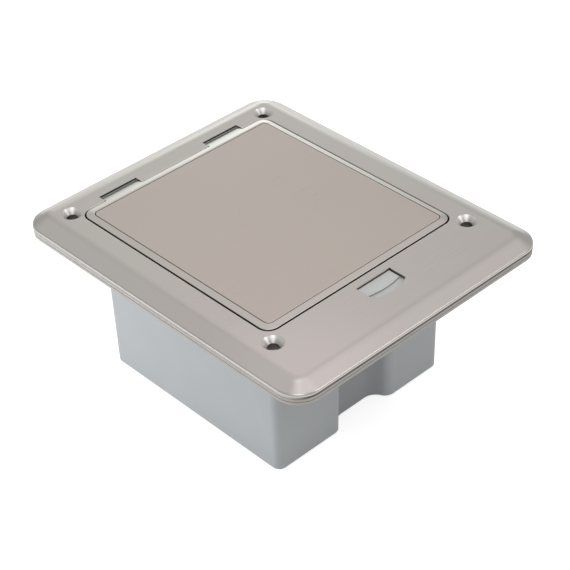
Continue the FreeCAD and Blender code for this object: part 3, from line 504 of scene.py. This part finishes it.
boxFinish = {**moulded, "dark": paint(0.447, 0.466, 0.485), "light": paint(0.5, 0.52, 0.543),
             # painted shade in the recess
             "touches": [recessShade], "recessShadeColor": paint(0, 0, 0)}
buttonFinish = {**moulded, "dark": paint(0.6, 0.615, 0.605), "light": paint(0.65, 0.665, 0.655), "rough": 0.42,
                "grain": 3800.0, "bump": 0.1, "touches": [padShade], "padDark": paint(0.12, 0.12, 0.12)}
housingFinish = {**moulded, "dark": paint(0.1, 0.105, 0.115), "light": paint(0.14, 0.145, 0.155), "bump": 0.25}
socketFinish = {**moulded, "dark": paint(0.72, 0.72, 0.7), "light": paint(0.77, 0.77, 0.755), "rough": 0.2,
                "grain": 1800.0, "bump": 0.03}
baseFinish = {**moulded, "dark": paint(0.62, 0.62, 0.59), "light": paint(0.7, 0.7, 0.67), "rough": 0.45}
sealFinish = {**moulded, "dark": paint(0.02, 0.02, 0.022), "light": paint(0.035, 0.035, 0.037), "rough": 0.62,
              "grain": 3200.0}
foamFinish = {**moulded, "dark": paint(0.44, 0.42, 0.4), "light": paint(0.52, 0.495, 0.475), "rough": 0.7,
              "grain": 1900.0, "bump": 0.3}

# Each material's maker, values and nodes
finishes = {
    "frameMetal": (brushedMetal, frameFinish, ["frame_plate"]),
    "lidMetal": (brushedMetal, lidFinish, ["lid_tray"]),
    "insertMetal": (brushedMetal, insertFinish, ["lid_insert"]),
    "zincSteel": (brushedMetal, zincFinish, [
        "box_screws", "lid_strike", "strike_screws", "hinge_retainer_left", "hinge_retainer_right",
        "retainer_screws", "latch_bolt", "latch_rivets", "latch_screws", "socket_plate", "plate_screws",
        "socket_screws", "terminal_screws_front", "terminal_screws_back"]),
    "drawnWire": (brushedMetal, wireFinish, ["hinge_pin_left", "hinge_pin_right", "latch_spring"]),
    "clipMetal": (brushedMetal, clipFinish, ["earth_clip_front", "earth_clip_back"]),
    "brightBrass": (brushedMetal, brassFinish, ["earth_terminal", "line_contacts_front", "line_contacts_back"]),
    "boxPlastic": (mouldedPlastic, boxFinish, ["back_box"]),
    "buttonPlastic": (mouldedPlastic, buttonFinish, ["latch_button"]),
    "housingPlastic": (mouldedPlastic, housingFinish, ["latch_housing"]),
    "socketPlastic": (mouldedPlastic, socketFinish, ["socket_face_front", "socket_face_back"]),
    "basePlastic": (mouldedPlastic, baseFinish, ["socket_base_front", "socket_base_back"]),
    "sealRubber": (mouldedPlastic, sealFinish, ["lid_seal"]),
    "gasketFoam": (mouldedPlastic, foamFinish, ["frame_gasket"]),
}
materials = {}
for name, (maker, values, nodes) in finishes.items():
    materials[name] = maker(name, values)
    for node in nodes:
        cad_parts[node].data.materials.clear()
        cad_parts[node].data.materials.append(materials[name])
print("materials made:", len(materials))


# New pieces: grids of points, in millimetres, whose columns close into rings. A face joins each point to
# the next in its row and to the two above them.
def ringFaces(rows, columns):
    row, column = np.meshgrid(np.arange(rows - 1), np.arange(columns), indexing="ij")
    onward = (column + 1) % columns
    corners = [row * columns + column, row * columns + onward, (row + 1) * columns + onward,
               (row + 1) * columns + column]
    return np.stack(corners, axis=-1).reshape(-1, 4)


weld = {"gap": 1e-7, "shortEdge": 1e-8}   # in metres


# Makes one piece from several grids, closes its poles and seams, and hangs it on its body
def addPiece(name, grids, v):
    points, faces, count = [], [], 0
    for grid in grids:
        rows, columns = grid.shape[:2]
        points.append(grid.reshape(-1, 3) * mm)
        faces.append(ringFaces(rows, columns) + count)
        count += rows * columns
    mesh = bpy.data.meshes.new(name)
    mesh.from_pydata(np.concatenate(points).tolist(), [], np.concatenate(faces).tolist())
    work = bmesh.new()
    work.from_mesh(mesh)
    bmesh.ops.remove_doubles(work, verts=work.verts, dist=weld["gap"])
    bmesh.ops.dissolve_degenerate(work, edges=work.edges, dist=weld["shortEdge"])
    bmesh.ops.recalc_face_normals(work, faces=work.faces)
    work.to_mesh(mesh)
    work.free()
    mesh.polygons.foreach_set("use_smooth", np.ones(len(mesh.polygons), dtype=bool))
    mesh.set_sharp_from_angle(angle=math.radians(v["sharp"]))
    mesh.materials.append(materials[v["material"]])
    piece = bpy.data.objects.new(name, mesh)
    scene.collection.objects.link(piece)
    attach(piece, v["body"])
    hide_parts(v["node"])
    print(name, "made:", len(mesh.polygons), "faces")
    return piece


# Screws. "head" and "shank" are radii, and a sunk head's cone starts at "rimDepth". The recess's half length
# and half width are shares of the head's radius, its floor's size is a share of its mouth, and its floor's
# depth at the wall and further dip at the middle are shares of "recess". The thread starts "lead" below the
# neck. Its depth is a share of the pitch, and the plain tip's length and end are shares of the shank's radius.
# The rings of the recess's floor and wall and of the head's top are a first share, a last one and a count.
# Each screw of a set is turned by "firstTurn" and a further "nextTurn", in radians.
panHead = {"material": "zincSteel", "slot": "steel_zinc", "body": "base", "sharp": 38, "columns": 40,
           "crown": 0.3, "edge": 0.35, "edgeTurns": (22, 45, 68, 90), "crossReach": 0.58, "crossWidth": 0.15,
           "recess": 0.95, "floorSize": 0.8, "floorDepth": 0.95, "floorDip": 0.2, "floorRings": (0, 1, 4),
           "wallRings": (0.25, 1, 4), "topRings": (0.12, 1, 7), "neck": 0.2, "lead": 0.1, "pitch": 0.6,
           "threadDepth": 0.5, "stepsPerTurn": 6, "tipLength": 0.7, "tipEnd": 0.7, "headsUp": False,
           "firstTurn": 0.5, "nextTurn": 1.9}
sinkHead = {**panHead, "crown": 0.0, "edge": 0.1, "recess": 0.8, "crossReach": 0.5, "crossWidth": 0.14,
            "rimDepth": 0.2}
screwKinds = {
    "boxScrewSet": {**panHead, "node": "box_screws", "head": 2.8, "shank": 1.5, "headHeight": 1.9,
                    "length": 8.2, "pitch": 0.7},
    "retainerScrewSet": {**panHead, "node": "retainer_screws", "head": 2.3, "shank": 1.25, "headHeight": 1.4,
                         "length": 5.4},
    "latchScrewSet": {**panHead, "node": "latch_screws", "head": 2.3, "shank": 1.25, "headHeight": 1.4,
                      "length": 5.9},
    "plateScrewSet": {**panHead, "node": "plate_screws", "head": 2.8, "shank": 1.5, "headHeight": 1.9,
                      "length": 11.1, "pitch": 0.7, "headsUp": True},
    "socketScrewSet": {**sinkHead, "node": "socket_screws", "head": 2.4, "shank": 1.25, "headHeight": 1.15,
                       "length": 11.5, "headsUp": True,
                       "places": [(-19.8, -37.66), (19.8, -2.26), (-19.8, 7.34), (19.8, 42.74)]},
    "strikeScrewSet": {**sinkHead, "node": "strike_screws", "body": "lid", "head": 2.25, "shank": 1.25,
                       "headHeight": 1.0, "length": 3.4},
}


# Cross recess seen along the screw: at each angle, the larger of the distances to two crossed bars' edges
def crossOutline(angle, reach, width):
    tiny = 1e-9   # keeps the divisions finite along the bars
    c, s = np.abs(np.cos(angle)) + tiny, np.abs(np.sin(angle)) + tiny
    return np.maximum(np.minimum(reach / c, width / s), np.minimum(reach / s, width / c))


# Angles of a ring's points: evenly spaced, and one at each corner and inner corner of the cross
def ringAngles(reach, width, columns):
    corner = math.atan2(width, reach)
    bends = [k * math.pi / 2 + d for k in range(4) for d in (-corner, corner, math.pi / 4)]
    even = np.linspace(0, 2 * math.pi, columns, endpoint=False)
    return np.unique(np.round(np.concatenate([even, np.mod(bends, 2 * math.pi)]), 5))


# One screw, its head's top at the origin and its shank down -Z. Each row is a ring of radius and height:
# the recess's floor and wall follow the cross, the head's top spreads from the cross to a circle on a
# low dome, then come the edge, the head's side, the seat, and a shank whose radius is a helix's wave.
def screwGrid(v):
    head, shank, edge, crown, pitch = (v[k] for k in ("head", "shank", "edge", "crown", "pitch"))
    reach, width = head * v["crossReach"], head * v["crossWidth"]
    angle = ringAngles(reach, width, v["columns"])
    cross, level = crossOutline(angle, reach, width), np.ones_like(angle)
    size, floor, dip = v["floorSize"], v["recess"] * v["floorDepth"], v["recess"] * v["floorDip"]
    rows = []
    for share in np.linspace(*v["floorRings"]):
        rows.append((cross * size * share, level * (dip * share - dip - floor)))
    for share in np.linspace(*v["wallRings"]):
        radius = cross * (size + (1 - size) * share)
        rows.append((radius, (floor - crown * (radius / head) ** 2) * share - floor))
    for share in np.linspace(*v["topRings"]):
        radius = cross + (head - edge - cross) * share
        rows.append((radius, -crown * (radius / head) ** 2))
    inner = head - edge
    rim = -crown * (inner / head) ** 2 - edge
    for turn in np.radians(v["edgeTurns"]):
        rows.append((level * (inner + edge * math.sin(turn)), level * (rim + edge * math.cos(turn))))
    seat = v["headHeight"]
    for radius, depth in [(head, v.get("rimDepth", seat)), (shank, seat), (shank, seat + v["neck"])]:
        rows.append((level * radius, level * -depth))
    start, end = -seat - v["neck"] - v["lead"], -v["length"]
    for height in np.arange(start, end + shank * v["tipLength"], -pitch / v["stepsPerTurn"]):
        wave = 0.5 - 0.5 * np.cos(2 * math.pi * height / pitch - angle)
        rows.append((shank - pitch * v["threadDepth"] * wave ** 2, level * height))
    rows += [(level * shank * share, level * end) for share in (v["tipEnd"], 0.0)]
    radius, height = (np.stack(part) for part in zip(*rows))
    return np.stack([radius * np.cos(angle), radius * np.sin(angle), height], axis=-1)


# Copies of a screw, heads up or heads down: each is turned about its own axis and moved to its place
def placeScrews(grid, places, top, v):
    out = []
    sign = 1 if v["headsUp"] else -1
    for index, (x, y) in enumerate(places):
        turn = v["firstTurn"] + v["nextTurn"] * index
        c, s = math.cos(turn), math.sin(turn)
        px, py = grid[..., 0] * c - grid[..., 1] * s, grid[..., 0] * s + grid[..., 1] * c
        out.append(np.stack([px + x, sign * py + y, sign * grid[..., 2] + top], axis=-1))
    return out


# Places of a node's screws, one in each corner of its own box
def cornersOf(node, head):
    low, high = (np.array(corner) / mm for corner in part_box(node))
    xs = (low[0] + head, high[0] - head)
    ys = sorted({round(low[1] + head, 3), round(high[1] - head, 3)})
    return [(x, y) for x in xs for y in ys]


for name, v in screwKinds.items():
    low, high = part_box(v["node"])
    top = (high.z if v["headsUp"] else low.z) / mm
    places = v.get("places") or cornersOf(v["node"], v["head"])
    addPiece(name, placeScrews(screwGrid(v), places, top, v), v)


# Coil spring of round wire along Y. "closedPitch" is an end turn's advance in wire radii, and "ease" is the
# number of steps over which the advance changes.
coil = {"node": "latch_spring", "body": "base", "slot": "pin_steel", "material": "drawnWire", "sharp": 60,
        "radius": 2.1, "wire": 0.3, "turns": 5.4, "endTurns": 0.8, "closedPitch": 2.05, "steps": 220,
        "ease": 19, "around": 14, "from": -74.04, "to": -79.96, "z": -1.6, "travel": 2.5}


# The angle runs evenly; the advance is slow in the closed end turns and quick between them, and eased where
# it changes. A ring of wire stands across the coil at each step, and a point closes each end.
def coilGrid(v):
    turn = np.linspace(0, v["turns"], v["steps"])
    closed = np.minimum(turn, v["turns"] - turn) < v["endTurns"]
    room = v["from"] - v["to"] - 2 * v["wire"]
    slow = v["closedPitch"] * v["wire"]
    quick = (room - 2 * v["endTurns"] * slow) / (v["turns"] - 2 * v["endTurns"])
    rate = np.pad(np.where(closed, slow, quick), v["ease"] // 2, mode="edge")
    rate = np.convolve(rate, np.ones(v["ease"]) / v["ease"], mode="valid")
    advance = np.concatenate([[0], np.cumsum((rate[1:] + rate[:-1]) / 2)])
    y = v["from"] - v["wire"] - room * advance / advance[-1]
    angle = 2 * math.pi * turn
    out = np.stack([np.cos(angle), np.zeros_like(angle), np.sin(angle)], axis=-1)
    line = v["radius"] * out + np.stack([np.zeros_like(y), y, np.full_like(y, v["z"])], axis=-1)
    along = np.gradient(line, axis=0)
    along /= np.linalg.norm(along, axis=1, keepdims=True)
    across = np.cross(along, out)
    spin = np.linspace(0, 2 * math.pi, v["around"], endpoint=False)[None, :, None]
    ring = line[:, None] + v["wire"] * (np.cos(spin) * out[:, None] + np.sin(spin) * across[:, None])
    ends = [np.repeat(line[i][None, None], v["around"], axis=1) for i in (0, -1)]
    return np.concatenate([ends[0], ring, ends[1]], axis=0)


spring = addPiece("latchCoil", [coilGrid(coil)], coil)
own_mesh(spring)


# The box's mouth seen from above, with the recess in its front wall
mouth = {"half": 48.2, "front": -53.86, "back": 50.84, "corner": 4.5, "recessX": 2.0, "flat": 7.0,
         "recess": 6.7, "flank": 5.7, "samples": 11}


# Outline of eight arcs joined by straight runs. Each arc keeps its centre as the outline moves inward, so an
# outer corner's radius shrinks by the inset and the recess's hollow grows.
def mouthOutline(inset, v):
    sweep = math.degrees(math.acos(1 - v["recess"] / (2 * v["flank"])))
    wide = 2 * v["flank"] * math.sin(math.radians(sweep))
    lipY, hollowY = v["front"] + v["flank"], v["front"] + v["recess"] - v["flank"]
    left, right = v["recessX"] - v["flat"], v["recessX"] + v["flat"]
    lip, hollow, corner = v["flank"] - inset, v["flank"] + inset, v["corner"] - inset
    x, y0, y1 = v["half"] - v["corner"], v["front"] + v["corner"], v["back"] - v["corner"]
    arcs = np.array([
        (left - wide, lipY, lip, -90, sweep - 90), (left, hollowY, hollow, 90 + sweep, 90),
        (right, hollowY, hollow, 90, 90 - sweep), (right + wide, lipY, lip, -90 - sweep, -90),
        (x, y0, corner, -90, 0), (x, y1, corner, 0, 90), (-x, y1, corner, 90, 180),
        (-x, y0, corner, 180, 270)])
    turn = np.radians(np.linspace(arcs[:, 3], arcs[:, 4], v["samples"], axis=1))
    px = arcs[:, 0, None] + arcs[:, 2, None] * np.cos(turn)
    py = arcs[:, 1, None] + arcs[:, 2, None] * np.sin(turn)
    return np.stack([px.ravel(), py.ravel()], axis=-1)


# Lid seal. "outer" and "inner" are insets from the mouth's outline.
sealLips = {"node": "lid_seal", "body": "base", "slot": "seal_rubber", "material": "sealRubber", "sharp": 50,
            "outer": -0.4, "inner": 1.8, "bottom": -1.0, "valley": -0.35, "top": 0.4, "across": 21}


# A closed profile carried round the mouth. Its top is two rounded lips with a valley between them, a squared
# sine across the width; its sides and underside are straight.
def sealGrid(v, outline):
    share = np.linspace(0, 1, v["across"])
    width = v["inner"] - v["outer"]
    upper = v["valley"] + (v["top"] - v["valley"]) * np.sin(2 * math.pi * share) ** 2
    inset = np.concatenate([[v["outer"]], v["outer"] + width * share, [v["inner"], v["outer"]]])
    height = np.concatenate([[v["bottom"]], upper, [v["bottom"], v["bottom"]]])
    rows = []
    for i, h in zip(inset, height):
        plan = mouthOutline(i, outline)
        rows.append(np.concatenate([plan, np.full((len(plan), 1), h)], axis=1))
    return np.stack(rows)


addPiece("sealLips", [sealGrid(sealLips, mouth)], sealLips)


# Floor and surroundings. A lobe is a soft patch of the surroundings: its azimuth from +X, its elevation, the
# half angles where it is full and where it has faded out, and its strength in red, green and blue.
floorPaper = {"size": 6.0, "color": paint(0.82, 0.82, 0.82), "rough": 0.9, "specular": 0.1,
              "glow": paint(1, 1, 1), "cameraGlow": 0.66, "glossyGlow": 0.36}
studio = {"background": paint(1, 1, 1), "base": (0.535, 0.54, 0.52),
          "lobes": {
              "backLow": (48, -2, 8, 24, (0.72, 0.74, 0.73)),
              "backMid": (48, 15, 4, 14, (0.78, 0.86, 0.84)),
              "backHigh": (47, 48, 4, 18, (0.435, 0.38, 0.4)),
              "backRim": (61, 22, 3, 12, (0.32, 0.33, 0.31)),
              "leftHigh": (107, 52, 10, 30, (0.21, 0.2, 0.21)),
              "rightHigh": (-16, 56, 10, 30, (0.28, 0.25, 0.27)),
              "above": (-60, 76, 12, 34, (0.3, 0.29, 0.3)),
              "zenith": (47, 87, 2, 11, (0.8, 0.8, 0.8)),
              "frontLeft": (-133, 54, 8, 22, (1.15, 1.15, 1.15)),
              "frontRight": (-52, 36, 5, 13, (1.9, 1.85, 1.85)),
          }}
sideLamp = {"place": (-0.33, 0.19, 0.04), "aim": (-0.048, 0.0, -0.02), "size": 0.16, "power": 0.54,
            "color": (0.97, 1.0, 1.03)}


# Pale paper, which glows a little for the camera and in reflections
def makeFloor(level, v):
    mesh = bpy.data.meshes.new("floor")
    h = v["size"] / 2
    mesh.from_pydata([(-h, -h, level), (h, -h, level), (h, h, level), (-h, h, level)], [], [(0, 1, 2, 3)])
    floor = bpy.data.objects.new("floor", mesh)
    scene.collection.objects.link(floor)
    material, tree, shader = newMaterial("floorPaper")
    shader.inputs["Base Color"].default_value = v["color"]
    shader.inputs["Roughness"].default_value = v["rough"]
    shader.inputs["Specular IOR Level"].default_value = v["specular"]
    shader.inputs["Emission Color"].default_value = v["glow"]
    rays = addNode(tree, "ShaderNodeLightPath").outputs
    glow = times(tree, rays["Is Camera Ray"], v["cameraGlow"])
    glow = maths(tree, "MULTIPLY_ADD", rays["Is Glossy Ray"], v["glossyGlow"], glow)
    tree.links.new(glow, shader.inputs["Emission Strength"])
    mesh.materials.append(material)


# The camera sees the plain background, and everything else sees the base level with the lobes added
def makeWorld(v):
    world = bpy.data.worlds.new("studio")
    scene.world = world
    world.use_nodes = True
    tree = world.node_tree
    rays = addNode(tree, "ShaderNodeLightPath").outputs
    look = addNode(tree, "ShaderNodeTexCoord").outputs["Generated"]
    total = addNode(tree, "ShaderNodeCombineXYZ", dict(enumerate(v["base"]))).outputs[0]
    for azimuth, elevation, full, faded, strength in v["lobes"].values():
        a, e = math.radians(azimuth), math.radians(elevation)
        aim = (math.cos(a) * math.cos(e), math.sin(a) * math.cos(e), math.sin(e))
        along = addNode(tree, "ShaderNodeVectorMath", {0: look, 1: aim}, operation="DOT_PRODUCT")
        patch = remap(tree, along.outputs["Value"], math.cos(math.radians(faded)), math.cos(math.radians(full)),
                      smooth=True)
        total = addNode(tree, "ShaderNodeVectorMath", {0: patch, 1: strength, 2: total},
                        operation="MULTIPLY_ADD").outputs[0]
    color = blendColor(tree, rays["Is Camera Ray"], total, v["background"])
    tree.links.new(color, tree.nodes["Background"].inputs["Color"])


def makeLamp(v):
    lamp = bpy.data.lights.new("sideLamp", "AREA")
    lamp.shape, lamp.size, lamp.energy, lamp.color = "DISK", v["size"], v["power"], v["color"]
    obj = bpy.data.objects.new("sideLamp", lamp)
    place, aim = Vector(v["place"]), Vector(v["aim"])
    obj.matrix_world = Matrix.Translation(place) @ (place - aim).to_track_quat("Z", "Y").to_matrix().to_4x4()
    obj.visible_glossy = False
    scene.collection.objects.link(obj)


floorLevel = min(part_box("back_box")[0].z, cadBox[0].z)
makeFloor(floorLevel, floorPaper)
makeWorld(studio)
makeLamp(sideLamp)
print("studio set")
